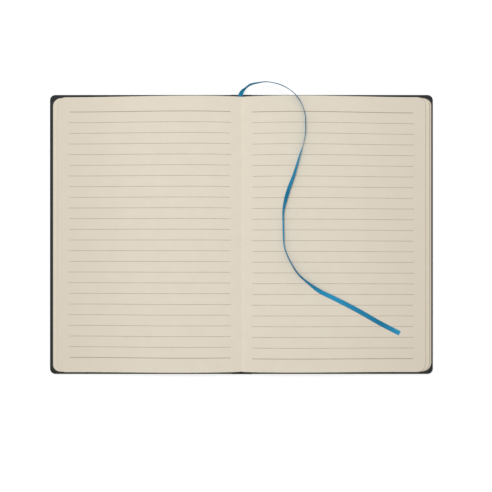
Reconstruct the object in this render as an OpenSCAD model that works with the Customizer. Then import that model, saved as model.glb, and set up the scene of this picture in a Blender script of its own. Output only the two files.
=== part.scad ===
// A hard-cased ruled notebook with a ribbon marker, lying open at its middle.
// Lengths are in millimetres. The origin is on the table under the middle of the spine.
// X runs across the opening, Y from tail to head, and Z up from the table.
// The front board is on the left and the back board on the right.

/* [Case] */
// Height of the case, from tail to head
case_h = 210; // [180:1:250]
// Width of each stiff board, from the joint to the fore-edge
board_w = 129.7; // [115:0.1:160]
// Thickness of each stiff board
board_t = 2; // [1.6:0.1:3]
// Thickness of the covering material
skin_t = 0.3; // [0.25:0.01:0.4]
// Radius of the case's outer corners
corner_r = 4; // [2:0.5:10]
// How far the covering is turned in over the boards' inner faces
turn_in = 14; // [10:1:20]

/* [Spine] */
// Width of the stiff strip inside the spine
strip_w = 15.8; // [15:0.1:18]
// Thickness of the stiff strip inside the spine
strip_t = 1.2; // [0.8:0.1:1.4]
// Width of the soft joint between the strip and each board
joint_w = 6.2; // [5.8:0.1:8]
// Distance from each board's edge back to the line that its joint folds on
fold_back = 3.4; // [3.2:0.1:4]
// Height of the fold line above the table
fold_z = 0.6; // [0.5:0.05:0.8]
// Radius of the round bead that the joint folds about
bead_r = 0.5; // [0.4:0.05:0.6]
// Running gap between the bead and the seat that turns round it
bead_gap = 0.08; // [0.04:0.01:0.1]
// Thickness of the gauze glued to the back of the pages
gauze_t = 0.3; // [0.2:0.05:0.4]
// How far the gauze stops short of the pages at head and tail
gauze_margin = 4; // [2:1:10]

/* [Endpapers] */
// Thickness of the endpaper pasted down inside each board
endpaper_t = 0.15; // [0.1:0.01:0.25]
// Border of covering left showing round each pasted endpaper
endpaper_margin = 3; // [2:0.5:6]

/* [Pages] */
// Height of the pages, from tail to head
page_h = 205; // [170:1:206]
// How much nearer the tail than the head the pages sit
page_drop = 0.3; // [0:0.1:0.8]
// Width of the top leaf on each side, from the gutter to its fore-edge
leaf_w = 137.4; // [120:0.2:138]
// Thickness of the leaves on each side
leaves_t = 4.6; // [3.5:0.1:6]
// Radius of the pages' outer corners
page_corner_r = 6.5; // [3:0.5:12]
// Number of groups that the leaves fan into along each fore-edge
leaf_groups = 5; // [3:1:8]
// How far the lowest leaves on the left stand out beyond the top leaf
fan_left = 4.5; // [2:0.1:5.5]
// How far the lowest leaves on the right stand out beyond the top leaf
fan_right = 5.4; // [2:0.1:6]
// How far the leaves arch up beside the gutter, above their level at the fore-edge
arch_rise = 3.9; // [2:0.1:4.5]
// Distance from the gutter to the crest of the arch
crest_x = 38; // [30:1:45]
// Distance from the gutter to where the leaves lie flat
flat_x = 130; // [110:1:130]
// How far the leaves fall from the crest towards the gutter, in a broad slope
gutter_fall = 3.5; // [2.5:0.1:4]
// How much deeper the crease itself is than that slope
crease_dip = 1.5; // [0.8:0.1:2]
// How far from the gutter the steep sides of the crease have mostly levelled out
crease_x = 2.5; // [2:0.1:4]
// Thickness of the paper between the crease and the back of the pages
crease_t = 2.1; // [1.4:0.1:2.4]
// Half the width of the level part of the pages' back, over the ribbon
level_x = 2.2; // [2:0.1:2.6]
// Gap between the pages and the endpaper below them
page_gap = 0.05; // [0.05:0.01:0.2]

/* [Ribbon] */
// Width of the ribbon marker
ribbon_w = 3.3; // [2.5:0.1:3.6]
// Thickness of the ribbon marker, with its slight curl
ribbon_t = 0.4; // [0.2:0.05:0.45]

/* [Hidden] */

round_fn = 64;
cut = 1;

// Case, from the table up
board_z = skin_t;
case_t = skin_t + board_t + skin_t;
inner_z = case_t + endpaper_t;
board_h = case_h - 2 * skin_t;
board_x = strip_w / 2 + joint_w;
edge_x = board_x + board_w + skin_t;
fold_x = board_x - fold_back;
web_t = 2 * skin_t;
strip_top = skin_t + strip_t;

// Pages
page_z = inner_z + page_gap;
flat_z = page_z + leaves_t;
crest_z = flat_z + arch_rise;
crease_z = crest_z - gutter_fall - crease_dip;
back_z = crease_z - crease_t;
curve_steps = 26;
curve_spread = 1.7;
back_corner_at = 2;

// Height of the top leaf at a distance x from the gutter
function leaf_z(x) =
    x < crest_x ? crest_z - gutter_fall * pow(1 - x / crest_x, 2) - crease_dip * exp(-x / crease_x)
    : x < flat_x ? flat_z + arch_rise * (1 + cos(180 * (x - crest_x) / (flat_x - crest_x))) / 2
    : flat_z;

// Slope of the top leaf there, as an angle
function leaf_slope(x) = atan((leaf_z(x + 0.01) - leaf_z(x)) / 0.01);

// Point of the lowest leaf under the top leaf's point at x, square to the leaves
function under_leaf(x) = [
    x + leaves_t * sin(leaf_slope(x)),
    max(page_z, leaf_z(x) - leaves_t * cos(leaf_slope(x)))
];

// Shares of the way to the flat part, closer together near the gutter
spread = [for (i = [0:curve_steps]) pow(i / curve_steps, curve_spread)];
top_curve = [for (s = spread) [flat_x * s, leaf_z(flat_x * s)]];
under_curve = [
    for (i = [curve_steps:-1:0])
        under_leaf(back_corner_at + (flat_x - back_corner_at) * spread[i])
];
half_profile = concat(top_curve, [[leaf_w, flat_z], [leaf_w, page_z]], under_curve, [[level_x, back_z]]);
back_corner = under_leaf(back_corner_at);

// Ribbon: glued under the back of the pages at the head, out over the head edge, and back
// across the right page. The loop sags between the spine and the page, which hold it up.
ribbon_route = [
    [0, 92, 3.6], [0, 98, 3.6], [0, 103, 4], [0.6, 106, 5], [2.6, 109, 5.9],
    [6.5, 111.4, 6.4], [12.5, 112.8, 6.6], [18.5, 113.2, 6.9], [24.4, 112.3, 7.9],
    [30.3, 110, 9.6], [35.5, 106.8, 11.2], [39.3, 103.4, 11.8], [41.9, 99.3, 11.8],
    [44.1, 93.8, 11.8], [46.3, 87.7, 11.7], [46.9, 80.8, 11.7], [46.7, 73.8, 11.7],
    [45.5, 66.3, 11.7], [43.5, 59.9, 11.8], [40.9, 50.9, 11.8], [38.1, 42.7, 11.8],
    [35.3, 34.4, 11.8], [32.8, 26, 11.8], [31, 17.6, 11.7], [30.4, 9, 11.7], [30.4, 0, 11.7],
    [31, -8, 11.7], [33, -15, 11.8], [36.9, -22.9, 11.8], [42.3, -29.5, 11.8],
    [49.4, -36.1, 11.7], [57.8, -42.1, 11.4], [66.9, -46.6, 11], [78.9, -52.6, 10.3],
    [90.7, -59, 9.5], [102.8, -65.7, 8.8], [115.6, -72.6, 8.2]
];
ribbon_sides = 8;
ribbon_ring_steps = 2;

// Smooth curve through the route's points: four neighbours and a share of the middle span
function blend_point(a, b, c, d, t) =
    0.5 * (2 * b + (c - a) * t + (2 * a - 5 * b + 4 * c - d) * t * t
    + (3 * b - a - 3 * c + d) * t * t * t);

function ribbon_line(route) = let (last = len(route) - 1) concat(
    [for (i = [0:last - 1], s = [0:ribbon_ring_steps - 1]) blend_point(
        route[max(i - 1, 0)], route[i], route[i + 1], route[min(i + 2, last)],
        s / ribbon_ring_steps)],
    [route[last]]
);

function unit(v) = v / norm(v);

// One ring of the ribbon's flat oval section, square to its run and level across its width
function ribbon_ring(line, i) = let (
    last = len(line) - 1,
    along = unit(line[min(i + 1, last)] - line[max(i - 1, 0)]),
    across = unit(cross([0, 0, 1], along)),
    up = cross(along, across)
) [for (k = [0:ribbon_sides - 1]) let (a = 360 * (k + 0.5) / ribbon_sides)
    line[i] + across * ribbon_w / 2 * cos(a) / cos(180 / ribbon_sides)
    + up * ribbon_t / 2 * sin(a) / cos(180 / ribbon_sides)];

// Puts a section drawn in X and Z along the height of the case
module along_spine(length) {
    rotate([90, 0, 0]) translate([0, 0, -length / 2]) linear_extrude(length) children();
}

// Outline of a board or sheet with its two fore-edge corners rounded, between x0 and x1
module leaf_outline(x0, x1, height, r) {
    translate([x0, -height / 2]) square([x1 - r - x0, height]);
    translate([x0, r - height / 2]) square([x1 - x0, height - 2 * r]);
    for (side = [-1, 1])
        translate([x1 - r, side * (height / 2 - r)]) circle(r = r, $fn = round_fn);
}

// Stiff board of the right-hand side
module board() {
    translate([0, 0, board_z])
        linear_extrude(board_t)
            leaf_outline(board_x, board_x + board_w, board_h, corner_r - skin_t);
}

// Covering of the right-hand board: outer face, edges, turned-in border and joint
module board_covering() {
    difference() {
        linear_extrude(case_t)
            leaf_outline(board_x - skin_t, edge_x, case_h, corner_r);
        board();
        translate([board_x, -case_h / 2 + turn_in, board_z])
            cube([board_w - turn_in, case_h - 2 * turn_in, case_t + cut]);
    }
    difference() {
        along_spine(case_h)
            translate([fold_x, fold_z - web_t / 2])
                square([board_x - skin_t - fold_x, web_t]);
        translate([fold_x, 0, fold_z])
            rotate([90, 0, 0])
                cylinder(r = bead_r + bead_gap, h = case_h + 2 * cut, center = true, $fn = round_fn);
    }
}

// Endpaper pasted inside the right-hand board: it dips into the turned-in border
module endpaper() {
    translate([board_x, -case_h / 2 + turn_in, board_z + board_t])
        cube([board_w - turn_in, case_h - 2 * turn_in, skin_t + endpaper_t]);
    translate([0, 0, case_t])
        linear_extrude(endpaper_t)
            leaf_outline(
                board_x, edge_x - endpaper_margin, case_h - 2 * endpaper_margin, page_corner_r);
}

module back_cover() {
    color("#3a3a3d") board_covering();
}

module back_board() {
    color("#8f8a80") board();
}

module back_endpaper() {
    color("#e6ddcc") endpaper();
}

module front_cover() {
    color("#3a3a3d") mirror([1, 0, 0]) board_covering();
}

module front_board() {
    color("#8f8a80") mirror([1, 0, 0]) board();
}

module front_endpaper() {
    color("#e6ddcc") mirror([1, 0, 0]) endpaper();
}

// Covering of the spine: it runs under the strip, up to a bead on each fold line, and is
// turned in over the strip at head and tail
module spine_cover() {
    half = strip_w / 2;
    color("#3a3a3d") {
        along_spine(case_h)
            polygon([
                [-half, 0], [half, 0],
                [fold_x, fold_z - web_t / 2], [fold_x, fold_z + web_t / 2],
                [half, skin_t], [-half, skin_t],
                [-fold_x, fold_z + web_t / 2], [-fold_x, fold_z - web_t / 2]
            ]);
        for (side = [-1, 1]) {
            translate([side * fold_x, 0, fold_z])
                rotate([90, 0, 0])
                    cylinder(r = bead_r, h = case_h, center = true, $fn = round_fn);
            translate([-half, side * (case_h - turn_in) / 2 - turn_in / 2, strip_top])
                cube([strip_w, turn_in, skin_t]);
            translate([-half, side * (case_h - skin_t) / 2 - skin_t / 2, 0])
                cube([strip_w, skin_t, strip_top + skin_t]);
        }
    }
}

module spine_strip() {
    color("#8f8a80")
        translate([-strip_w / 2, -board_h / 2, skin_t])
            cube([strip_w, board_h, strip_t]);
}

// Gauze glued to the back of the pages, which folds it to a low ridge
module spine_gauze() {
    color("#e9e4d8")
        translate([0, -page_drop, 0])
            along_spine(page_h - 2 * gauze_margin)
                polygon([
                    [-back_corner[0], back_corner[1]], [-level_x, back_z],
                    [level_x, back_z], back_corner,
                    [back_corner[0], back_corner[1] - gauze_t], [level_x, back_z - gauze_t],
                    [-level_x, back_z - gauze_t], [-back_corner[0], back_corner[1] - gauze_t]
                ]);
}

// Lower groups of leaves at one fore-edge, each standing out further than the one above
module fanned_leaves(fan) {
    for (k = [0:leaf_groups - 2])
        translate([0, 0, page_z])
            linear_extrude(leaves_t * (k + 1) / leaf_groups)
                leaf_outline(
                    flat_x, leaf_w + fan * (1 - k / (leaf_groups - 1)), page_h, page_corner_r);
}

module pages() {
    color("#ded5c4")
        translate([0, -page_drop, 0]) {
            intersection() {
                along_spine(page_h) {
                    polygon(half_profile);
                    mirror([1, 0]) polygon(half_profile);
                    translate([-level_x, back_z]) square([2 * level_x, crease_t]);
                }
                union()
                    for (side = [0, 1])
                        mirror([side, 0, 0])
                            linear_extrude(crest_z + cut)
                                leaf_outline(-cut, leaf_w, page_h, page_corner_r);
            }
            fanned_leaves(fan_right);
            mirror([1, 0, 0]) fanned_leaves(fan_left);
        }
}

module ribbon() {
    line = ribbon_line(ribbon_route);
    count = len(line);
    points = [for (i = [0:count - 1]) each ribbon_ring(line, i)];
    sides = [
        for (i = [0:count - 2], k = [0:ribbon_sides - 1])
            let (a = i * ribbon_sides + k, b = i * ribbon_sides + (k + 1) % ribbon_sides)
            [a, a + ribbon_sides, b + ribbon_sides, b]
    ];
    start_cap = [for (k = [0:ribbon_sides - 1]) k];
    end_cap = [for (k = [ribbon_sides - 1:-1:0]) (count - 1) * ribbon_sides + k];
    color("#207fb2") polyhedron(points, concat([start_cap, end_cap], sides), convexity = 6);
}

back_cover();
back_board();
back_endpaper();
spine_cover();
spine_strip();
spine_gauze();
pages();
ribbon();
front_cover();
front_board();
front_endpaper();
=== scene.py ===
# %% [markdown]
# # A hard-cased ruled notebook, lying open
# The notebook lies on its boards, open at about the middle of its pages. A case like this
# is three stiff pieces, two boards and a spine strip, wrapped in one covering material.
# The pages are sewn in groups, and their back is glued to gauze. A ribbon marker is glued
# to that back too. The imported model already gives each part's place, so each one is shaped
# where it belongs. Lengths are the notebook's own, in millimetres, turned into metres.

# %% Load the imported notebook
import bisect
import math
import random

import bmesh
import bpy
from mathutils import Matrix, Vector


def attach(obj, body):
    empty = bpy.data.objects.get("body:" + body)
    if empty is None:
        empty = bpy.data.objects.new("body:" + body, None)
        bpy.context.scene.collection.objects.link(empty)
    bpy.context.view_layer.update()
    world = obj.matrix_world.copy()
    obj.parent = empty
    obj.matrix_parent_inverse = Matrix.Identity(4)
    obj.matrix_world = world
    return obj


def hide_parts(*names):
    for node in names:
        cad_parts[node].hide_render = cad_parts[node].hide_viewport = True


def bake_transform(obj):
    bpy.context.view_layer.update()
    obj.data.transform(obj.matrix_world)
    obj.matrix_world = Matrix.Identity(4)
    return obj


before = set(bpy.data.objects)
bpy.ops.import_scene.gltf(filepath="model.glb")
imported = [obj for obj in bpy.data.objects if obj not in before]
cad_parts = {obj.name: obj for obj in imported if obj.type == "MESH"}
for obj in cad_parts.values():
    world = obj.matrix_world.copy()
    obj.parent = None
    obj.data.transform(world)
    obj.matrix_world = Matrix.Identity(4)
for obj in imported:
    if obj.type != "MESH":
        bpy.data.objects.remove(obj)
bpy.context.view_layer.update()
scene = bpy.context.scene
MM = 0.001
print("nodes:", sorted(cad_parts))

# %% [markdown]
# ## Camera
# The notebook is seen from straight above, from less than half a metre. At that distance
# the crests of the leaves, 11 mm nearer than the table, look about 2.5% larger. The camera
# stands above a point just below the middle of the opening, so the notebook sits a little
# high in the frame, and no lens shift is needed.

# %% Camera
camera = bpy.data.objects.new("camera", bpy.data.cameras.new("camera"))
camera.data.sensor_width = 36
camera.data.lens = 44.5
camera.data.clip_start = 10 * MM
camera.location = (3.45 * MM, -8.7 * MM, 460 * MM)
scene.collection.objects.link(camera)
scene.camera = camera
print("camera above", tuple(camera.location))

# %% [markdown]
# ## The curve of the leaves
# An open book's leaves rise steeply out of the crease, go over a broad arch and come down
# gently to the fore-edge, with a hollow under them beside the spine. The ribbon lies on
# that curve and the pages follow it, so it comes first, as one function of the distance
# from the gutter. A leaf further down keeps its distance from the top leaf, square to the
# curve. Right in the crease the leaves lie up to 1 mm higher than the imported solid, because
# single sheets fall into it less than a block does.

# %% The curve of the leaves
CREST_Z, FLAT_Z = 11.3 * MM, 7.4 * MM
CREST_X, FLAT_X = 38 * MM, 130 * MM
GUTTER_FALL, CREASE_DIP, CREASE_X = 3.0 * MM, 1.0 * MM, 2.5 * MM
LEAVES_T = 4.6 * MM
PAGE_H, PAGE_DROP, LEAF_W = 204.5 * MM, 0.05 * MM, 137.4 * MM
HEAD_Y = PAGE_H / 2 - PAGE_DROP


def leaf_height(x):
    """Height of the top leaf above the table, at a distance x from the gutter."""
    if x < CREST_X:
        dip = CREASE_DIP * math.exp(-x / CREASE_X)
        return CREST_Z - GUTTER_FALL * (1 - x / CREST_X) ** 2 - dip
    if x < FLAT_X:
        turn = math.pi * (x - CREST_X) / (FLAT_X - CREST_X)
        return FLAT_Z + (CREST_Z - FLAT_Z) * (1 + math.cos(turn)) / 2
    return FLAT_Z


def leaf_slope(x):
    """Slope of the top leaf there, as a rise for each unit of run."""
    step = 0.01 * MM
    return (leaf_height(x + step) - leaf_height(x)) / step


def leaf_point(x, depth):
    """Place, as distance from the gutter and height, of a point depth below the top leaf."""
    angle = math.atan(leaf_slope(x))
    return x + depth * math.sin(angle), leaf_height(x) - depth * math.cos(angle)


for x in (0, 5, 15, 38, 85, 130):
    print(f"leaf at {x:3d} mm: {leaf_height(x * MM) / MM:.2f} mm high")

# %% [markdown]
# ## Ribbon marker: its route
# The ribbon is glued under the back of the pages at the head. It comes out over the head,
# makes one loop past the edge and lies across the right page in an S. The points, in
# millimetres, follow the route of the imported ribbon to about 1 mm, and the free end lies
# 2.5 mm further on. A narrow satin ribbon doesn't lie flat where it turns in its own plane:
# it stands up on one edge. So each point has a tilt as well, in degrees, from 0 where the
# ribbon lies flat to 90 where it stands on edge, and a little more where it leans over.

# %% Route and tilt of the ribbon
ROUTE = [
    (0, 92, 3.6), (-0.4, 98, 3.6), (-0.8, 103, 4), (0.2, 106, 5), (3, 108.6, 5.9),
    (6.7, 111.2, 6.4), (12.6, 112.6, 6.6), (18.5, 113.2, 6.9), (24.4, 112.1, 7.9),
    (30.2, 109.8, 9.6), (35.3, 106.5, 11.2), (39.2, 103.2, 11.8), (42.7, 99.1, 11.8),
    (45.3, 93.7, 11.8), (46.9, 87.7, 11.7), (47.2, 80.8, 11.7), (47, 73.8, 11.7),
    (45.5, 66.3, 11.7), (43.5, 59.9, 11.8), (40.9, 50.9, 11.8), (38.4, 42.7, 11.8),
    (35.3, 34.4, 11.8), (32.8, 26, 11.8), (31, 17.6, 11.7), (30.8, 9, 11.7), (31, 0, 11.7),
    (31.4, -8, 11.7), (33.4, -14.8, 11.8), (37.3, -22.6, 11.8), (42.1, -29.7, 11.8),
    (49.4, -36.1, 11.7), (57.8, -42.1, 11.4), (66.9, -46.6, 11), (78.9, -52.6, 10.3),
    (90.7, -59, 9.5), (102.7, -65.9, 8.8), (117.8, -73.7, 8.2),
]
TILT = [
    0, 0, 4, 42, 75, 78, 88, 95, 96, 95, 97, 96, 95, 98, 91, 88, 89, 94, 79, 66, 54, 42,
    45, 65, 74, 74, 80, 80, 78, 73, 62, 28, 18, 10, 5, 2, 0,
]
RIBBON_W, RIBBON_T = 3.4 * MM, 0.16 * MM
SPAN_STEPS = 8


def smooth_between(values, at):
    """Value of a smooth curve through a list of points or numbers, at so many spans along."""
    i = min(int(at), len(values) - 2)
    t = at - i
    a, b, c, d = (values[max(0, min(len(values) - 1, i + k))] for k in (-1, 0, 1, 2))
    return 0.5 * (
        b * 2 + (c - a) * t + (a * 2 - b * 5 + c * 4 - d) * t**2 + (b * 3 - a - c * 3 + d) * t**3
    )


stations = [i / SPAN_STEPS for i in range((len(ROUTE) - 1) * SPAN_STEPS + 1)]
route_points = [Vector(p) * MM for p in ROUTE]
ribbon_line = [smooth_between(route_points, s) for s in stations]
ribbon_tilt = [math.radians(smooth_between(TILT, s)) for s in stations]
print("route points:", len(ribbon_line))

# %% [markdown]
# Over the page the ribbon's lower edge touches the top leaf, so its height is taken from
# the leaf under it. Past the head edge nothing is under it, and it keeps the height of its
# route. Between the two, the one passes smoothly into the other over 3 mm. The first
# stations are under the back of the pages, and keep the height of the route too.

# %% Where the ribbon's section stands
SURFACE_GAP = 0.14 * MM
LANDS_AT, LANDING = HEAD_Y + 2 * MM, 3 * MM
UNDER_PAGES = 20


def ease(t):
    """Smooth step from 0 to 1."""
    t = max(0, min(1, t))
    return t * t * (3 - 2 * t)


def ribbon_section(i):
    """Centre, direction across and direction off the surface of the ribbon's section there."""
    centre = ribbon_line[i]
    along = ribbon_line[min(i + 1, len(ribbon_line) - 1)] - ribbon_line[max(i - 1, 0)]
    on_page = ease((LANDS_AT - centre.y) / LANDING) if i > UNDER_PAGES else 0
    ground = Vector((-leaf_slope(centre.x) * on_page, 0, 1)).normalized()
    level = ground.cross(along).normalized()
    out = along.cross(level).normalized()
    tilt = ribbon_tilt[i]
    across = level * math.cos(tilt) + out * math.sin(tilt)
    off = out * math.cos(tilt) - level * math.sin(tilt)
    free_z = centre.z + RIBBON_W / 2 * math.sin(tilt)
    rest_z = max(
        leaf_height((centre + across * s).x) + SURFACE_GAP - across.z * s
        for s in (-RIBBON_W / 2, 0, RIBBON_W / 2)
    )
    z = free_z + (rest_z - free_z) * on_page
    return Vector((centre.x, centre.y, z)), across, off


sections = [ribbon_section(i) for i in range(len(ribbon_line))]
ribbon_run = [0.0]
for (a, _, _), (b, _, _) in zip(sections, sections[1:]):
    ribbon_run.append(ribbon_run[-1] + (b - a).length)
ribbon_length = ribbon_run[-1]
print(f"ribbon length: {ribbon_length / MM:.1f} mm")

# %% [markdown]
# ## A thin sheet, made flat and then bent
# Ribbon, leaves and covering are all thin sheets. Each is modelled flat, as the maker cuts
# it, with its thickness, and only then is every point moved to where the bent sheet has
# it. The flat place of each point is kept in an attribute named sheet. The materials read
# it, so weave, ruling and grain follow the sheet and don't slide when a joint moves.
# A sheet bends only at its points, so it is cut along lines where it has to bend.

# %% Flat sheets
SHEET = "sheet"
WELD = 0.001 * MM


def flat_sheet(x0, x1, y0, y1, x_parts=1, y_parts=1):
    """A flat rectangle between two corners, as a bmesh with the sheet attribute."""
    bm = bmesh.new()
    bm.verts.layers.float_vector.new(SHEET)
    bmesh.ops.create_grid(bm, x_segments=x_parts, y_segments=y_parts, size=0.5)
    bmesh.ops.scale(bm, vec=(x1 - x0, y1 - y0, 1), verts=bm.verts)
    bmesh.ops.translate(bm, vec=((x0 + x1) / 2, (y0 + y1) / 2, 0), verts=bm.verts)
    return bm


def cut(bm, point, normal):
    """Cuts a bmesh along a plane, and keeps both sides."""
    bmesh.ops.bisect_plane(
        bm, geom=bm.verts[:] + bm.edges[:] + bm.faces[:], dist=WELD, plane_co=point,
        plane_no=normal)


def round_off(bm, geom, radius, segments, affect):
    """Rounds corner points (VERTICES) or edges (EDGES) with a bevel."""
    bmesh.ops.bevel(
        bm, geom=geom, offset=radius, offset_type="OFFSET", segments=segments, profile=0.5,
        affect=affect, material=-1)


def thicken(bm, thickness):
    """Gives a flat sheet its thickness, downwards, as a closed solid."""
    made = bmesh.ops.extrude_face_region(bm, geom=bm.faces[:])
    lower = [v for v in made["geom"] if isinstance(v, bmesh.types.BMVert)]
    bmesh.ops.translate(bm, vec=(0, 0, -thickness), verts=lower)
    bmesh.ops.recalc_face_normals(bm, faces=bm.faces[:])


def bend_sheet(bm, place):
    """Keeps each point's flat place in the sheet attribute and moves it to its bent place."""
    layer = bm.verts.layers.float_vector[SHEET]
    for v in bm.verts:
        v[layer] = v.co.copy()
        v.co = place(v.co)


trial = flat_sheet(0, 2 * MM, 0, MM, x_parts=2)
thicken(trial, 0.1 * MM)
print("a flat sheet cut in two has", len(trial.faces), "faces with its thickness")
trial.free()

# %% [markdown]
# ## A finished piece
# All pieces are shaped in one frame, so each stays at the origin, with its points where
# they lie on the table. Its faces are shaded as one smooth surface, except across an edge
# sharper than a given angle, because paper and board have crisp cut edges.

# %% Finished pieces
def make_piece(name, bm, materials, sharp_deg=35):
    """Turns a finished bmesh into a piece at the origin, smooth except at its sharp edges."""
    bmesh.ops.recalc_face_normals(bm, faces=bm.faces[:])
    mesh = bpy.data.meshes.new(name)
    bm.to_mesh(mesh)
    bm.free()
    for material in materials:
        mesh.materials.append(material)
    mesh.shade_smooth()
    mesh.set_sharp_from_angle(angle=math.radians(sharp_deg))
    piece = bpy.data.objects.new(name, mesh)
    scene.collection.objects.link(piece)
    triangles = sum(len(p.vertices) - 2 for p in mesh.polygons)
    print(f"{name}: {len(mesh.vertices)} points, {triangles} triangles")
    return piece


# %% [markdown]
# ## Materials: small helpers
# A material here is a Principled shader with a few textures in front of it. The first
# helper adds a node, sets its sockets and joins the ones that are given another node's
# output. The others each add one common step: arithmetic, a ramp, a texture or a mix.

# %% Helpers for nodes
def wire(tree, kind, inputs=(), **settings):
    """Adds a shader node. Inputs are values, or another node's output to join to."""
    made = tree.nodes.new("ShaderNode" + kind)
    for name, value in settings.items():
        setattr(made, name, value)
    for socket, value in dict(inputs).items():
        if isinstance(value, bpy.types.NodeSocket):
            tree.links.new(value, made.inputs[socket])
        else:
            made.inputs[socket].default_value = value
    return made


def calc(tree, operation, *values, clamp=False):
    """One step of arithmetic on numbers or outputs, as an output."""
    made = wire(tree, "Math", enumerate(values), operation=operation, use_clamp=clamp)
    return made.outputs[0]


def ramp(tree, value, start, end, low=0.0, high=1.0, curve="LINEAR"):
    """Goes from low to high while a value goes from start to end, and is level outside."""
    made = wire(
        tree, "MapRange", {0: value, 1: start, 2: end, 3: low, 4: high},
        interpolation_type=curve)
    return made.outputs[0]


def waves(tree, value, pitch, operation="SINE"):
    """Even waves from -1 to 1, one for each pitch that the value grows."""
    return calc(tree, operation, calc(tree, "MULTIPLY", value, 2 * math.pi / pitch))


def noise(tree, place, scale, detail):
    """Cloudy texture from 0 to 1, with so many clouds to a metre."""
    return wire(tree, "TexNoise", {"Vector": place, "Scale": scale, "Detail": detail}).outputs[0]


def shift(tree, texture, low, high):
    """Turns a texture's 0 to 1 into a number between low and high."""
    return ramp(tree, texture, 0.3, 0.7, low, high)


def split(tree, place):
    """The three coordinates of a place, as outputs."""
    return wire(tree, "SeparateXYZ", {0: place}).outputs


def mix_colour(tree, share, a, b):
    """Colour a where share is 0, and b where it is 1."""
    made = wire(tree, "Mix", {0: share, 6: a, 7: b}, data_type="RGBA")
    return made.outputs[2]


trial = bpy.data.node_groups.new("trial", "ShaderNodeTree")
waves(trial, 0.25, 1.0)
print("waves are made of", [node.operation for node in trial.nodes])
bpy.data.node_groups.remove(trial)


# %% Helpers for materials
def tone(red, green, blue):
    """A colour as seen on a screen, 0 to 255, as the light that the shader reads."""
    def one(c):
        c /= 255
        return c / 12.92 if c <= 0.04045 else ((c + 0.055) / 1.055) ** 2.4

    return (one(red), one(green), one(blue), 1)


def new_material(name, roughness, **sockets):
    """A new material, with its node tree, its shader and the numbers it has all over."""
    material = bpy.data.materials.new(name)
    material.use_nodes = True
    tree = material.node_tree
    shader = tree.nodes["Principled BSDF"]
    shader.inputs["Roughness"].default_value = roughness
    for socket, value in sockets.items():
        shader.inputs[socket.replace("_", " ")].default_value = value
    return material, tree, shader


def sheet_place(tree):
    """Output with the flat place of each point of a sheet."""
    return wire(tree, "Attribute", attribute_name=SHEET, attribute_type="GEOMETRY").outputs[1]


def object_place(tree):
    """Output with each point's own place, for the parts that never bend."""
    return wire(tree, "TexCoord").outputs["Object"]


def paint(tree, shader, colour):
    """Gives a shader the colour of an output."""
    tree.links.new(colour, shader.inputs["Base Color"])


def bump(tree, shader, height, distance, strength=1.0):
    """Gives a shader the fine relief of a texture, so many metres deep."""
    made = wire(
        tree, "Bump", {"Height": height, "Distance": distance, "Strength": strength})
    tree.links.new(made.outputs[0], shader.inputs["Normal"])


print("middle grey on a screen is light", round(tone(128, 128, 128)[0], 3))

# %% [markdown]
# ## Satin ribbon
# Satin is woven so that long shiny threads float along the ribbon over fine cross threads.
# Seen close, it has a faint rib across and a woven edge each side that catches the light.
# The blue is painted paler and deeper in slow waves and patches along its run, as painted
# sheen and shade, and the free loop at the head is painted palest, as a painted highlight.
# The shine is soft and low, because the photo shows a ribbon with no bright streaks.

# %% Ribbon material
# The second colour is painted sheen: the pale blue of the loop and of the waves.
DEEP_BLUE, SHEEN_BLUE, EDGE_BLUE = tone(18, 112, 150), tone(44, 152, 196), tone(14, 100, 140)
SHEEN_WAVE_AT, SHEEN_WAVE = 232 * MM, 64 * MM
LOOP_UP_TO, PAGE_FROM = 40 * MM, 70 * MM
RIB, THREAD = 0.32 * MM, 0.22 * MM


def satin_ribbon():
    """Blue satin with painted sheen, paler in the loop, with its rib, its long threads and its
    woven edges.
    """
    material, tree, shader = new_material("satin_ribbon", 0.48, Specular_IOR_Level=0.15)
    place = sheet_place(tree)
    across, along, _ = split(tree, place)
    # Painted sheen and shade: paler and deeper blue in waves and patches along the run, palest
    # in the loop.
    sheen_wave = waves(tree, calc(tree, "SUBTRACT", along, SHEEN_WAVE_AT), SHEEN_WAVE, "COSINE")
    loop_sheen = ramp(tree, along, LOOP_UP_TO, PAGE_FROM, 0.9, 0.5)
    sheen = calc(tree, "MULTIPLY_ADD", sheen_wave, 0.35, loop_sheen)
    sheen_patches = shift(tree, noise(tree, place, scale=60.0, detail=2.0), -0.2, 0.2)
    sheen = calc(tree, "ADD", sheen, sheen_patches, clamp=True)
    edge = calc(tree, "DIVIDE", calc(tree, "ABSOLUTE", across), RIBBON_W / 2)
    edge = ramp(tree, edge, 0.8, 0.95)
    colour = mix_colour(tree, sheen, DEEP_BLUE, SHEEN_BLUE)
    paint(tree, shader, mix_colour(tree, calc(tree, "MULTIPLY", edge, 0.35), colour, EDGE_BLUE))
    rib = calc(tree, "MULTIPLY", waves(tree, along, RIB), 0.3)
    thread = calc(tree, "MULTIPLY", waves(tree, across, THREAD), 0.2)
    relief = calc(tree, "ADD", calc(tree, "ADD", rib, thread), edge)
    bump(tree, shader, relief, distance=0.03 * MM)
    return material


ribbon_material = satin_ribbon()
print("made", ribbon_material.name)

# %% [markdown]
# ## Ribbon: the piece
# The flat ribbon is a long grid, a little cupped across its width, with a thickness. Each
# point then moves to its section on the route.

# %% Ribbon piece
CUP = 0.06 * MM
ribbon_bm = flat_sheet(
    -RIBBON_W / 2, RIBBON_W / 2, 0, ribbon_length, x_parts=6, y_parts=220)
thicken(ribbon_bm, RIBBON_T)


def on_route(flat):
    """Bent place of a point of the flat ribbon."""
    i = max(1, min(len(ribbon_run) - 1, bisect.bisect(ribbon_run, flat.y)))
    share = (flat.y - ribbon_run[i - 1]) / (ribbon_run[i] - ribbon_run[i - 1])
    centre, across, off = (a.lerp(b, share) for a, b in zip(sections[i - 1], sections[i]))
    cup = CUP * (2 * flat.x / RIBBON_W) ** 2
    return centre + across.normalized() * flat.x + off.normalized() * (flat.z + cup)


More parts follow.
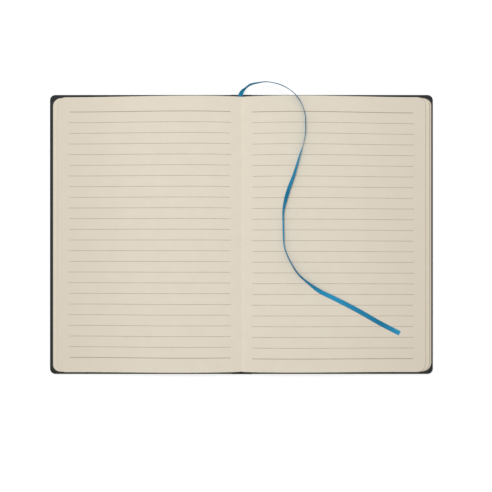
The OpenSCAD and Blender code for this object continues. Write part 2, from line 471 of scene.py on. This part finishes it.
bend_sheet(ribbon_bm, on_route)
ribbon_marker = make_piece("ribbon_marker", ribbon_bm, [ribbon_material], sharp_deg=60)
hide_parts("ribbon")
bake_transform(ribbon_marker)
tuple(sections[0][0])

# %% [markdown]
# ## Paper
# The pages are cream uncoated paper. Close up it is slightly cloudy, with short fibres
# that show as a fine tooth. The cloud is large and faint, and the tooth is only relief.
# The outer half of a leaf is painted a shade darker towards the fore-edge, as painted shade,
# and the strip in the crease is painted paler, as painted light. A strip along the fore-edge
# of each sheet is painted darker as a painted shadow line, and the cut edges have a finish of
# their own, with a line of painted shade for each leaf.

# %% Paper finishes
# The second colour is painted shade towards the fore-edge, the third painted light in the
# crease.
PAPER, FORE_EDGE_SHADE, CREASE_LIGHT = tone(224, 215, 198), tone(218, 208, 191), tone(238, 229, 213)
# The second colour is a painted shadow line along each sheet's fore-edge.
CLOUDED, RIM_SHADOW = tone(210, 200, 182), tone(185, 175, 157)
# The second colour is painted shade between the leaves, on their cut edges.
CUT_PAPER, SHADE_BETWEEN_LEAVES = tone(196, 186, 168), tone(158, 148, 130)
FORE_EDGE_SHADE_FROM, FORE_EDGE_SHADE_TO, CREASE_LIGHT_W = 60 * MM, 140 * MM, 5 * MM
LEAF_PITCH = 0.098 * MM


def paper_base(name, edge_shade):
    """Cream paper with its cloud and tooth, and so much painted shade towards its fore-edge."""
    material, tree, shader = new_material(name, 0.85, Specular_IOR_Level=0.25)
    place = sheet_place(tree)
    run, _, _ = split(tree, place)
    # Painted shade: the paper grows darker towards the fore-edge of the leaf.
    fore_edge_shade = ramp(tree, run, FORE_EDGE_SHADE_FROM, FORE_EDGE_SHADE_TO, curve="SMOOTHSTEP")
    # Painted light: a strip in the crease is painted paler.
    crease_light = ramp(tree, run, CREASE_LIGHT_W, 0.0, curve="SMOOTHSTEP")
    colour = mix_colour(tree, calc(tree, "MULTIPLY", fore_edge_shade, edge_shade), PAPER, FORE_EDGE_SHADE)
    colour = mix_colour(tree, calc(tree, "MULTIPLY", crease_light, 0.2), colour, CREASE_LIGHT)
    cloud = shift(tree, noise(tree, place, scale=90.0, detail=3.0), 0.0, 1.0)
    colour = mix_colour(tree, calc(tree, "MULTIPLY", cloud, 0.2), colour, CLOUDED)
    tooth = noise(tree, place, scale=2600.0, detail=2.0)
    bump(tree, shader, tooth, distance=0.02 * MM, strength=0.6)
    return material, tree, shader, place, colour


def plain_paper():
    """Paper of the leaves below the top one."""
    material, tree, shader, _, colour = paper_base("plain_paper", 0.3)
    paint(tree, shader, colour)
    return material


def leaf_edges():
    """Paper on the cut edges of the leaves, with one fine line of painted shade for each leaf.
    """
    material, tree, shader, place, colour = paper_base("leaf_edges", 1.0)
    # Painted shade: one dark line for each leaf, where leaves meet.
    gap_shade = waves(tree, split(tree, place)[2], LEAF_PITCH)
    gap_shade = calc(tree, "MULTIPLY", calc(tree, "MAXIMUM", gap_shade, 0.0), 0.25)
    colour = mix_colour(tree, 0.6, colour, CUT_PAPER)
    paint(tree, shader, mix_colour(tree, gap_shade, colour, SHADE_BETWEEN_LEAVES))
    return material


def rim_shadow_paper():
    """Paper along the fore-edge of a leaf, painted darker as a painted shadow line."""
    material, tree, shader, _, colour = paper_base("rim_shadow_paper", 1.0)
    paint(tree, shader, mix_colour(tree, 0.9, colour, RIM_SHADOW))
    return material


plain, edges, rim_shadows = plain_paper(), leaf_edges(), rim_shadow_paper()
print("made", plain.name, edges.name, rim_shadows.name)

# %% [markdown]
# ## Ruling
# The ruled side has 24 grey-brown lines, the first and the last of them heavier. A ruling
# pen or plate never starts every line at quite the same place, so the ends are uneven. Nor
# is a ruling always square to its sheet: on the left leaf it rises a little towards the
# fore-edge. The lines are worked out from the flat place, so they bend with the leaf.

# %% Ruled paper
INK = tone(150, 130, 106)
LINE_COUNT = 24
LINE_START, LINE_END = 8.0 * MM, 128.3 * MM
START_EARLY, START_SPREAD = 0.4 * MM, 0.9 * MM
END_EARLY, END_SPREAD = 0.7 * MM, 1.2 * MM
LINE_HALF, HEAVY_MORE, LINE_BLUR = 0.16 * MM, 0.045 * MM, 0.08 * MM


def ruled_paper(name, first_y, pitch, skew):
    """Paper with its ruling, from the first line down, rising so much across the leaf."""
    material, tree, shader, place, colour = paper_base(name, 1.0)
    run, y, _ = split(tree, place)
    top_line = calc(tree, "MULTIPLY_ADD", run, skew, first_y)
    row = calc(tree, "DIVIDE", calc(tree, "SUBTRACT", top_line, y), pitch)
    index = calc(tree, "ROUND", row)
    off_line = calc(tree, "MULTIPLY", calc(tree, "SUBTRACT", row, index), pitch)
    off_line = calc(tree, "ABSOLUTE", off_line)
    middle = (LINE_COUNT - 1) / 2
    from_middle = calc(tree, "ABSOLUTE", calc(tree, "SUBTRACT", index, middle))
    heavy = calc(tree, "GREATER_THAN", from_middle, middle - 0.5)
    on_page = calc(tree, "LESS_THAN", from_middle, middle + 0.5)
    half = calc(tree, "MULTIPLY_ADD", heavy, HEAVY_MORE, LINE_HALF)
    inside = calc(tree, "SUBTRACT", half, off_line)
    ink = calc(tree, "MULTIPLY_ADD", inside, 1 / LINE_BLUR, 0.5, clamp=True)
    uneven = wire(tree, "TexWhiteNoise", {"W": index}, noise_dimensions="1D")
    ends = wire(tree, "SeparateColor", {0: uneven.outputs["Color"]}).outputs
    start = calc(tree, "MULTIPLY_ADD", ends[0], START_SPREAD, LINE_START - START_EARLY)
    end = calc(tree, "MULTIPLY_ADD", ends[1], END_SPREAD, LINE_END - END_EARLY)
    begun, going = calc(tree, "GREATER_THAN", run, start), calc(tree, "LESS_THAN", run, end)
    for part in (on_page, begun, going):
        ink = calc(tree, "MULTIPLY", ink, part)
    faint = shift(tree, noise(tree, place, scale=240.0, detail=2.0), 0.62, 0.88)
    ink = calc(tree, "MULTIPLY", ink, calc(tree, "MULTIPLY_ADD", heavy, 0.22, faint))
    paint(tree, shader, mix_colour(tree, ink, colour, INK))
    return material


ruled_left = ruled_paper("ruled_left", first_y=90.75 * MM, pitch=7.935 * MM, skew=0.0038)
ruled_right = ruled_paper("ruled_right", first_y=90.47 * MM, pitch=7.95 * MM, skew=0.0)
print("made", ruled_left.name, ruled_right.name)

# %% [markdown]
# ## Pages: one leaf
# A leaf is cut as a rectangle with two rounded corners at its fore-edge. A bevel on those
# two corner points rounds them, each with its own radius, and cuts across the leaf give it
# lines to bend along. They are closer together near the gutter, where the curve is tight.
# An inset then draws a narrow strip all round the leaf, and its part along the fore-edge
# is painted darker, as a painted shadow line.
# A leaf at the back of the block starts further from the gutter, because the glued back
# slopes away on each side of a narrow level part in the middle.

# %% One leaf
EDGE, PLAIN, RULED, SHADOW_RIM = 0, 1, 2, 3
LEVEL_X, BACK_Z = 2.2 * MM, 4.2 * MM
BACK_CORNER = Vector((3.87, 3.29)) * MM
SEARCH_FROM, SEARCH_STEP = -4 * MM, 0.02 * MM
NARROWEST = 0.3 * MM
BEND_LINES = [
    x * MM for x in (*(0.8 * i for i in range(1, 15)), *range(12, 44), *range(44, 132, 4))]


def leaf_start(depth):
    """Distance along the top leaf at which a leaf at that depth leaves the glued back."""
    back_fall = (BACK_Z - BACK_CORNER.y) / (BACK_CORNER.x - LEVEL_X)
    x = SEARCH_FROM
    while True:
        at, z = leaf_point(x, depth)
        if at >= 0 and z >= BACK_Z - max(0, at - LEVEL_X) * back_fall:
            return x
        x += SEARCH_STEP


def flat_leaf(start, reach, height, radii, shadow_rim_w):
    """A flat leaf with rounded corners, lines that it bends along, and a strip for a painted
    shadow line.
    """
    bm = flat_sheet(start, reach, -height / 2 - PAGE_DROP, height / 2 - PAGE_DROP)
    corners = sorted((v for v in bm.verts if v.co.x > reach - MM), key=lambda v: -v.co.y)
    for corner, radius in zip(corners, radii):
        round_off(bm, [corner], radius * MM, segments=8, affect="VERTICES")
    for x in BEND_LINES:
        if start + NARROWEST < x:
            cut(bm, (x, 0, 0), (1, 0, 0))
    for face in bm.faces:
        face.material_index = PLAIN
    made = bmesh.ops.inset_region(
        bm, faces=bm.faces[:], thickness=shadow_rim_w, use_boundary=True, use_even_offset=True)
    # The strip along the fore-edge gets the painted shadow line.
    for face in made["faces"]:
        if face.calc_center_median().x > reach - max(radii) * MM:
            face.material_index = SHADOW_RIM
    return bm


trial = flat_leaf(0, LEAF_W, PAGE_H, (6, 6), 0.3 * MM)
starts = [round(leaf_start(depth * MM) / MM, 2) for depth in (0, 2, 4)]
print("one leaf:", len(trial.faces), "faces; leaves start at", starts, "mm")
trial.free()

# %% [markdown]
# ## Pages: the block of leaves on each side
# Leaves that were sewn together stay together, so the fore-edge of the open book falls in
# steps, one for each sewn group, with hair-thin steps inside a group. The groups were
# trimmed a little differently too, so their corners don't have quite one radius. A strip
# along the fore-edge of every sheet is painted darker, a painted shadow line that shows each
# step as a fine line. Each side has 24 sheets, which stand for two leaves each. The top
# sheet carries the ruling on its upper side. Neither side lies quite square in the case, so
# each has a small shift towards head or tail, which changes from the gutter to the
# fore-edge. Left and right pages are two pieces.

# %% Sizes of the two blocks
SHEETS = 24
SHEET_PITCH, SHEET_FILL = LEAVES_T / SHEETS, 0.88
GROUP_SIZE = SHEETS // 3
# Millimetres that a group's first sheet reaches past LEAF_W, and each next one further
GROUPS = {
    "left": ((-0.5, 0.02), (2.6, 0.03), (3.7, 0.02)),
    "right": ((-0.05, 0.02), (3.1, 0.11), (4.9, 0.02)),
}
# Radius in millimetres of a group's corner at the head and at the tail
CORNER_RADII = {
    "left": ((6, 6), (5.2, 5.2), (5.2, 5.2)), "right": ((6, 6.2), (5.2, 6.8), (5.2, 6.8)),
}
# Width of the strip along each sheet's fore-edge that is painted darker as a shadow line
SHADOW_RIM_W = {"left": 0.13 * MM, "right": 0.4 * MM}
# Shift towards the tail, or the head if negative: all over, and more for each unit of run
SHIFT, SHIFT_SLOPE = {"left": -0.23 * MM, "right": -0.2 * MM}, {"left": 0.0038, "right": 0.0}
# More shift in the crease, fading out, and more outside, fading in
CREASE_SHIFT, CREASE_RUN = 0.14 * MM, 30 * MM
EDGE_SHIFT, EDGE_FROM, EDGE_RUN = {"left": 0.0, "right": 0.38 * MM}, 45 * MM, 95 * MM
# A sheet deeper in the block lies this share of its depth nearer the tail
SKEW = 0.08
# Millimetres that a sheet may lack in height, and that its reach may be off either way
HEIGHT_SPREAD, REACH_SPREAD = 0.3, 0.03
chance = random.Random(24)
print(f"{SHEETS} sheets a side, one every {SHEET_PITCH / MM:.3f} mm")


# %% Left and right pages
def leaf_reach(side, k):
    """Distance of a sheet's fore-edge from the gutter."""
    group, within = divmod(k, GROUP_SIZE)
    step, stagger = GROUPS[side][group]
    uneven = chance.uniform(-REACH_SPREAD, REACH_SPREAD) if k else 0
    return LEAF_W + (step + within * stagger + uneven) * MM


def askew(side, x):
    """How far the leaves of a side lie towards the tail at a distance x from the gutter."""
    in_crease = CREASE_SHIFT * (1 - ease(x / CREASE_RUN))
    outside = EDGE_SHIFT[side] * ease((x - EDGE_FROM) / EDGE_RUN)
    return in_crease + outside + SHIFT[side] + SHIFT_SLOPE[side] * x


def make_sheet(side, k):
    """One sheet, counted from the top, bent to its place in the block of its side."""
    depth = k * SHEET_PITCH
    height = PAGE_H - (chance.uniform(0, HEIGHT_SPREAD) * MM if k else 0)
    reach = leaf_reach(side, k)
    radii = CORNER_RADII[side][k // GROUP_SIZE]
    leaf = flat_leaf(leaf_start(depth), reach, height, radii, SHADOW_RIM_W[side])
    thicken(leaf, SHEET_FILL * SHEET_PITCH)
    for face in leaf.faces:
        if abs(face.normal.z) < 0.5:
            face.material_index = EDGE
        elif k == 0 and face.normal.z > 0 and face.material_index == PLAIN:
            face.material_index = RULED
    bmesh.ops.translate(leaf, vec=(0, -SKEW * depth, -depth), verts=leaf.verts)
    sign = -1 if side == "left" else 1

    def place(flat):
        x, z = leaf_point(flat.x, -flat.z)
        return Vector((sign * x, flat.y - askew(side, x), z))

    bend_sheet(leaf, place)
    bmesh.ops.recalc_face_normals(leaf, faces=leaf.faces[:])
    return leaf


def make_pages(side, ruled):
    """Pages of one side as one piece, with all their sheets."""
    block = bmesh.new()
    block.verts.layers.float_vector.new(SHEET)
    for k in range(SHEETS):
        leaf = make_sheet(side, k)
        mesh = bpy.data.meshes.new("leaf")
        leaf.to_mesh(mesh)
        leaf.free()
        block.from_mesh(mesh)
        bpy.data.meshes.remove(mesh)
    pages = make_piece(side + "_pages", block, [edges, plain, ruled, rim_shadows])
    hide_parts("pages")
    return pages


left_pages = make_pages("left", ruled_left)
right_pages = make_pages("right", ruled_right)
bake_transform(right_pages)
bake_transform(left_pages)

# %% [markdown]
# ## Covering material
# The case is covered in imitation leather: a coated cloth, charcoal grey and matt, pressed
# with a fine pebble grain. The grain is a cell pattern a little under a millimetre across,
# whose edges are the creases. The coat is rubbed paler along the case's outer edges, where
# a notebook wears first, so the colour reads the distance to the edge from the flat place.

# %% Covering material
CASE_H, EDGE_X = 210 * MM, 144.1 * MM
# The first colour is painted shade in the creases of the grain.
CREASE_SHADE_GREY, COAT, CLOUD_GREY = tone(34, 36, 37), tone(47, 49, 50), tone(58, 60, 62)
RUBBED_GREY, RUBBED_W = tone(112, 110, 108), 0.5 * MM


def covering():
    """Matt charcoal coating with a pebble grain, rubbed paler along the case's edges."""
    material, tree, shader = new_material("charcoal_covering", 0.7, Specular_IOR_Level=0.2)
    place = sheet_place(tree)
    warp = wire(tree, "TexNoise", {"Vector": place, "Scale": 900.0, "Detail": 2.0})
    moved = wire(
        tree, "VectorMath", {0: warp.outputs["Color"], 1: (0.3 * MM,) * 3, 2: place},
        operation="MULTIPLY_ADD")
    cells = wire(
        tree, "TexVoronoi", {"Vector": moved.outputs[0], "Scale": 1250.0},
        feature="DISTANCE_TO_EDGE")
    grain = ramp(tree, cells.outputs[0], 0.0, 0.25, curve="SMOOTHSTEP")
    # The creases of the grain are painted darker, as painted shade.
    colour = mix_colour(tree, grain, CREASE_SHADE_GREY, COAT)
    cloud = shift(tree, noise(tree, place, scale=45.0, detail=4.0), 0.0, 0.3)
    colour = mix_colour(tree, cloud, colour, CLOUD_GREY)
    x, y, _ = split(tree, place)
    side = calc(tree, "SUBTRACT", EDGE_X, calc(tree, "ABSOLUTE", x))
    end = calc(tree, "SUBTRACT", CASE_H / 2, calc(tree, "ABSOLUTE", y))
    worn = ramp(tree, calc(tree, "MINIMUM", side, end), 0.0, RUBBED_W, 1.0, 0.0)
    rubbed = shift(tree, noise(tree, place, scale=400.0, detail=3.0), 0.0, 0.2)
    colour = mix_colour(tree, calc(tree, "MULTIPLY", worn, rubbed), colour, RUBBED_GREY)
    paint(tree, shader, colour)
    tree.links.new(ramp(tree, grain, 0.0, 1.0, 0.8, 0.62), shader.inputs["Roughness"])
    bump(tree, shader, grain, distance=0.06 * MM, strength=0.7)
    return material


covering_material = covering()
print("made", covering_material.name)

# %% [markdown]
# ## Covering of the boards
# The covering is glued over the board's outer face, round its edges and 14 mm in over its
# inner face, so from inside it shows as a dark border. As a shape it is a slab with two
# rounded corners and softly rounded rims. Its inner face is cut to leave the border, and
# the shell that is left gets the thickness of the material, inwards, round the board.

# %% Covering of the boards
BOARD_X, BOARD_W, SKIN_T = 14.1 * MM, 129.7 * MM, 0.3 * MM
CASE_T, CORNER_R, TURN_IN = 2.6 * MM, 4 * MM, 14 * MM
SHELL_T, BOARD_RIM_R = 0.28 * MM, 0.5 * MM
# Most that a level edge may slope, and least that a face's normal has of its direction
LEVEL_WITHIN, FACING = 0.01 * MM, 0.9


def is_level(edge):
    """Whether both ends of an edge are at one height."""
    return abs(edge.verts[0].co.z - edge.verts[1].co.z) < LEVEL_WITHIN


def board_shell():
    """Outer surface of the covering round the right-hand board, open over the board."""
    inner_x, cut_x = BOARD_X - SKIN_T, BOARD_X + BOARD_W - TURN_IN
    bm = flat_sheet(inner_x, EDGE_X, -CASE_H / 2, CASE_H / 2)
    corners = [v for v in bm.verts if v.co.x > inner_x + MM]
    round_off(bm, corners, CORNER_R, segments=10, affect="VERTICES")
    bmesh.ops.translate(bm, vec=(0, 0, CASE_T), verts=bm.verts)
    thicken(bm, CASE_T)
    outer = [
        e for e in bm.edges
        if is_level(e) and not all(v.co.x < inner_x + MM for v in e.verts)
    ]
    round_off(bm, outer, BOARD_RIM_R, segments=3, affect="EDGES")
    cut(bm, (BOARD_X, 0, 0), (1, 0, 0))
    cut(bm, (cut_x, 0, 0), (1, 0, 0))
    for side in (-1, 1):
        cut(bm, (0, side * (CASE_H / 2 - TURN_IN), 0), (0, 1, 0))
    opening = [
        f for f in bm.faces
        if f.normal.z > FACING and f.calc_center_median().z > CASE_T - 0.1 * MM
        and BOARD_X < f.calc_center_median().x < cut_x
        and abs(f.calc_center_median().y) < CASE_H / 2 - TURN_IN
    ]
    bmesh.ops.delete(bm, geom=opening, context="FACES")
    return bm


def add_wall(piece):
    """Gives an open shell the thickness of the covering, inwards."""
    wall = piece.modifiers.new("thickness", "SOLIDIFY")
    wall.thickness = SHELL_T
    wall.offset = -1
    wall.use_even_offset = True


def make_board_covering(name, sign, body, node):
    """Makes the covering of one board as a piece. Sign is -1 for the left-hand board."""
    bm = board_shell()
    bend_sheet(bm, lambda p: Vector((sign * p.x, p.y, p.z)))
    piece = make_piece(name, bm, [covering_material])
    add_wall(piece)
    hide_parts(node)
    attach(piece, body)


make_board_covering("back_covering", 1, "back_cover", "back_cover")
make_board_covering("front_covering", -1, "front_cover", "front_cover")

# %% [markdown]
# ## Covering of the spine
# The same material runs under the spine strip and is turned in over it at head and tail.
# The spine's part is a shallow tray, open along its sides. At head and tail the turned-in
# covering makes a small roll, which fills the height between spine and boards. A roll is
# a curve like a flattened arch across its width, and the tray is cut along lines there, so
# that its points can be lifted onto that curve.

# %% Covering of the spine
STRIP_W, STRIP_TOP, SPINE_RIM_R = 15.8 * MM, 1.5 * MM, 0.4 * MM
ROLL_W, ROLL_CUTS = 3.4 * MM, [d * MM for d in (0.12, 0.35, 0.8, 1.5, 2.2, 2.7, 3.1, 3.4)]
SPINE_ROLL, JOINT_ROLL, ROLL_OUT = 0.8 * MM, 1.9 * MM, 0.25 * MM


def roll(y):
    """Share of its full height that the turned-in roll has there, near head or tail."""
    from_end = (CASE_H / 2 - abs(y)) / ROLL_W
    across = min(1, abs(2 * from_end - 1))
    return (1 - across ** 3) ** (1 / 3)


def roll_out(y):
    """How far the roll stands out past the boards there, at head or tail."""
    near_end = max(0, 1 - (CASE_H / 2 - abs(y)) / (ROLL_W / 2))
    return math.copysign(ROLL_OUT * near_end, y)


def cut_rolls(bm):
    """Cuts the lines that a roll is shaped along, at both ends."""
    for side in (-1, 1):
        for d in ROLL_CUTS:
            cut(bm, (0, side * (CASE_H / 2 - d), 0), (0, 1, 0))


def make_spine_covering():
    """Covering under the spine strip, turned in over its two ends."""
    half, top = STRIP_W / 2, STRIP_TOP + SKIN_T
    bm = flat_sheet(-half, half, -CASE_H / 2, CASE_H / 2)
    bmesh.ops.translate(bm, vec=(0, 0, top), verts=bm.verts)
    thicken(bm, top)
    end_edges = [
        e for e in bm.edges
        if is_level(e) and all(abs(v.co.y) > CASE_H / 2 - MM for v in e.verts)
        and abs(e.verts[0].co.x - e.verts[1].co.x) > MM
    ]
    round_off(bm, end_edges, SPINE_RIM_R, segments=3, affect="EDGES")
    for side in (-1, 1):
        cut(bm, (0, side * (CASE_H / 2 - TURN_IN), 0), (0, 1, 0))
    cut_rolls(bm)
    gone = [
        f for f in bm.faces
        if abs(f.normal.x) > FACING
        or (f.normal.z > FACING and abs(f.calc_center_median().y) < CASE_H / 2 - TURN_IN)
    ]
    bmesh.ops.delete(bm, geom=gone, context="FACES")

    def place(flat):
        lift = SPINE_ROLL * roll(flat.y) if flat.z > MM else 0
        return flat + Vector((0, roll_out(flat.y), lift))

    bend_sheet(bm, place)
    piece = make_piece("spine_covering", bm, [covering_material])
    add_wall(piece)
    return piece


spine_covering = make_spine_covering()
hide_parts("spine_cover")
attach(spine_covering, "spine")

# %% [markdown]
# ## Covering of the two joints
# Between strip and board the covering is pressed up into a groove, the joint that each
# cover turns on. It is a sheet of its own here. It laps a little over both, so that no gap
# opens when the cover turns, and has the same roll at head and tail.

# %% Covering of the joints
JOINT_T, GROOVE, SHOULDER = 0.5 * MM, 0.35 * MM, 0.3
SPINE_LAP, BOARD_GAP, TABLE_GAP = 0.05 * MM, 0.2 * MM, 0.02 * MM


def make_joint(name, sign):
    """Makes the covering across one joint: a sheet pressed up into a groove."""
    x0, x1 = STRIP_W / 2 - SPINE_LAP, BOARD_X - BOARD_GAP
    bm = flat_sheet(x0, x1, -CASE_H / 2, CASE_H / 2, x_parts=20)
    cut_rolls(bm)
    thicken(bm, JOINT_T)

    def place(flat):
        t = (flat.x - x0) / (x1 - x0)
        lift = GROOVE * ease(min(t, 1 - t) / SHOULDER)
        if flat.z > -JOINT_T / 2:
            lift += (JOINT_ROLL - lift) * roll(flat.y)
        z = flat.z + JOINT_T + TABLE_GAP + lift
        return Vector((sign * flat.x, flat.y + roll_out(flat.y), z))

    bend_sheet(bm, place)
    piece = make_piece(name, bm, [covering_material])
    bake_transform(piece)


make_joint("back_joint_cover", 1)
make_joint("front_joint_cover", -1)

# %% [markdown]
# ## The hidden parts
# Boards, spine strip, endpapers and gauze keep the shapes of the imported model, and get a
# finish of their own. Greyboard is pressed from waste paper, so it is flecked. The
# endpaper is smoother and a shade paler than the pages. Gauze is an open plain weave.

# %% Greyboard, endpaper and gauze
BOARD_DARK, BOARD_LIGHT = tone(132, 126, 116), tone(168, 162, 150)
BOARD_CLOUD = tone(118, 112, 104)
END_LIGHT, END_DARK = tone(229, 220, 203), tone(223, 213, 195)
GLUE, COTTON, WEAVE = tone(172, 160, 138), tone(236, 231, 220), 0.9 * MM


def greyboard():
    """Board pressed from waste paper, with flecks and clouds."""
    material, tree, shader = new_material("flecked_greyboard", 0.9, Specular_IOR_Level=0.2)
    place = object_place(tree)
    fleck = noise(tree, place, scale=1100.0, detail=5.0)
    colour = mix_colour(tree, shift(tree, fleck, 0.0, 1.0), BOARD_DARK, BOARD_LIGHT)
    cloud = shift(tree, noise(tree, place, scale=160.0, detail=3.0), 0.0, 0.3)
    paint(tree, shader, mix_colour(tree, cloud, colour, BOARD_CLOUD))
    bump(tree, shader, fleck, distance=0.05 * MM, strength=0.6)
    return material


def endpaper():
    """Smooth cream paper."""
    material, tree, shader = new_material("smooth_endpaper", 0.8, Specular_IOR_Level=0.3)
    place = object_place(tree)
    cloud = shift(tree, noise(tree, place, scale=70.0, detail=3.0), 0.0, 1.0)
    paint(tree, shader, mix_colour(tree, cloud, END_LIGHT, END_DARK))
    tooth = noise(tree, place, scale=2200.0, detail=2.0)
    bump(tree, shader, tooth, distance=0.02 * MM, strength=0.5)
    return material


def gauze():
    """Open plain weave of cotton, with glue showing between the threads."""
    material, tree, shader = new_material("open_gauze", 0.9, Specular_IOR_Level=0.2)
    x, y, _ = split(tree, object_place(tree))
    thread = calc(tree, "MAXIMUM", waves(tree, x, WEAVE), waves(tree, y, WEAVE))
    paint(tree, shader, mix_colour(tree, ramp(tree, thread, 0.3, 0.8), GLUE, COTTON))
    bump(tree, shader, thread, distance=0.12 * MM, strength=0.8)
    return material


board_finish, end_finish, gauze_finish = greyboard(), endpaper(), gauze()
FINISHES = {
    "back_board": board_finish, "front_board": board_finish, "spine_strip": board_finish,
    "back_endpaper": end_finish, "front_endpaper": end_finish, "spine_gauze": gauze_finish,
}
for name, material in FINISHES.items():
    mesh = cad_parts[name].data
    mesh.materials.clear()
    mesh.materials.append(material)
    print(name, "is finished in", material.name)

# %% [markdown]
# ## Floor and light
# The floor is plain and pale. It is made to look white by a glow that only the camera and
# reflections see, so no extra light reaches the notebook, and its own grey still takes the
# soft shadow. The light is a plain bright surround with one soft square lamp almost
# overhead, a little up and to the left, which makes the pages a shade darker towards the
# lower right.

# %% Floor
FLOOR_GREY, FLOOR_GLOW, FLOOR_SIZE = 0.75, 0.36, 2
UNDER_CASE = -0.02 * MM


def floor_material():
    """Pale floor that looks white, with a glow that only camera and reflections see."""
    material, tree, shader = new_material("floor", 1.0, Specular_IOR_Level=0.0)
    shader.inputs["Base Color"].default_value = (FLOOR_GREY, FLOOR_GREY, FLOOR_GREY, 1)
    rays = wire(tree, "LightPath").outputs
    seen = calc(tree, "MAXIMUM", rays["Is Camera Ray"], rays["Is Glossy Ray"])
    glow = calc(tree, "MULTIPLY", seen, FLOOR_GLOW)
    shader.inputs["Emission Color"].default_value = (1, 1, 1, 1)
    tree.links.new(glow, shader.inputs["Emission Strength"])
    return material


floor_bm = bmesh.new()
bmesh.ops.create_grid(floor_bm, x_segments=1, y_segments=1, size=FLOOR_SIZE)
bmesh.ops.translate(floor_bm, vec=(0, 0, UNDER_CASE), verts=floor_bm.verts)
floor = make_piece("floor", floor_bm, [floor_material()])

# %% Light
SURROUND_LIGHT, SURROUND_SEEN = 0.5, 1.0
world = scene.world or bpy.data.worlds.new("surround")
scene.world = world
world.use_nodes = True
sky = world.node_tree
background = sky.nodes["Background"]
background.inputs["Color"].default_value = (1, 1, 1, 1)
is_camera = wire(sky, "LightPath").outputs["Is Camera Ray"]
surround = ramp(sky, is_camera, 0.0, 1.0, SURROUND_LIGHT, SURROUND_SEEN)
sky.links.new(surround, background.inputs["Strength"])

lamp_data = bpy.data.lights.new("soft_lamp", "AREA")
lamp_data.shape = "SQUARE"
lamp_data.size = 0.45
lamp_data.energy = 5.7
lamp = bpy.data.objects.new("soft_lamp", lamp_data)
lamp.location = (-0.12, 0.2, 1.0)
lamp.rotation_mode = "QUATERNION"
lamp.rotation_quaternion = (-lamp.location).to_track_quat("-Z", "Y")
scene.collection.objects.link(lamp)
scene.view_settings.view_transform = "Standard"
print("lamp at", tuple(round(c, 2) for c in lamp.location))
